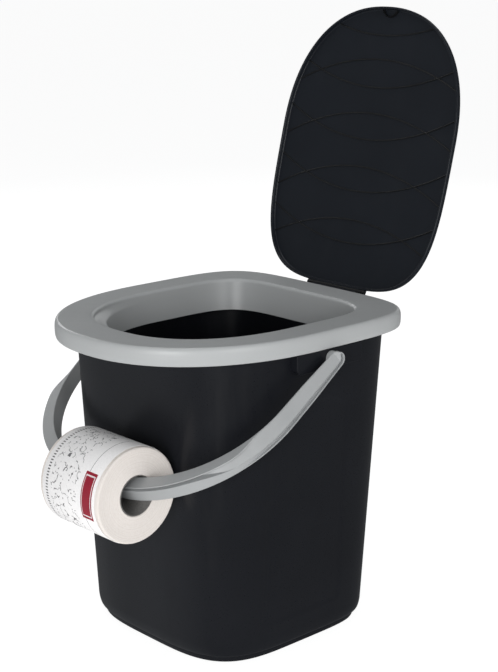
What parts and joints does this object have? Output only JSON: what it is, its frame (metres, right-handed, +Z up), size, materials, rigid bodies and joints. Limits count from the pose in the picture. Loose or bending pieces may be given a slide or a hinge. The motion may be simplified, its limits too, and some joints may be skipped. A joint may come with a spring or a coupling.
{
  "type": "portable camp toilet",
  "caption": "Bucket toilet for camping with a lift-off seat, a hinged lid and a bail handle that carries a toilet roll in front.",
  "frame": {"origin": "middle of the bucket's flat base, on the floor", "axes": "+Z up, front of the seat and the toilet roll towards -Y, hinge towards +Y, handle pivots along X"},
  "size_m": [0.3496, 0.5128, 0.6963],
  "materials": {
    "bucket": "satin anthracite",
    "seat": "satin light grey",
    "lid": "satin black",
    "hinge_bracket": "satin black",
    "hinge_pin": "plain",
    "handle": "satin grey",
    "paper_roll": "soft tissue",
    "roll_core": "wound grey card",
    "roll_wrapper": null
  },
  "bodies": {
    "bucket": {"bucket": "bucket"},
    "seat": {"seat": "seat", "hinge_bracket": "hinge_bracket", "hinge_pin": "hinge_pin"},
    "lid": {"lid": "lid"},
    "handle": {"handle": "handle"},
    "toilet_roll": {"paper_roll": "paper_roll", "roll_core": "roll_core", "roll_wrapper": "roll_wrapper"}
  },
  "joints": [
    {"name": "seat_lift", "type": "slide", "parent": "bucket", "child": "seat", "axis": [0, 0, 1], "range_m": [0, 0.1]},
    {"name": "lid_hinge", "type": "hinge", "parent": "seat", "child": "lid", "pos_m": [0, 0.1725, 0.362], "axis": [-1, 0, 0], "range_deg": [-104, 0]},
    {"name": "handle_swing", "type": "hinge", "parent": "bucket", "child": "handle", "pos_m": [0, 0.012, 0.34], "axis": [-1, 0, 0], "range_deg": [0, 23]},
    {"name": "roll_spin", "type": "hinge", "parent": "handle", "child": "toilet_roll", "pos_m": [0.023, -0.18843, 0.20984], "axis": [1, 0, 0], "continuous": true}
  ]
}
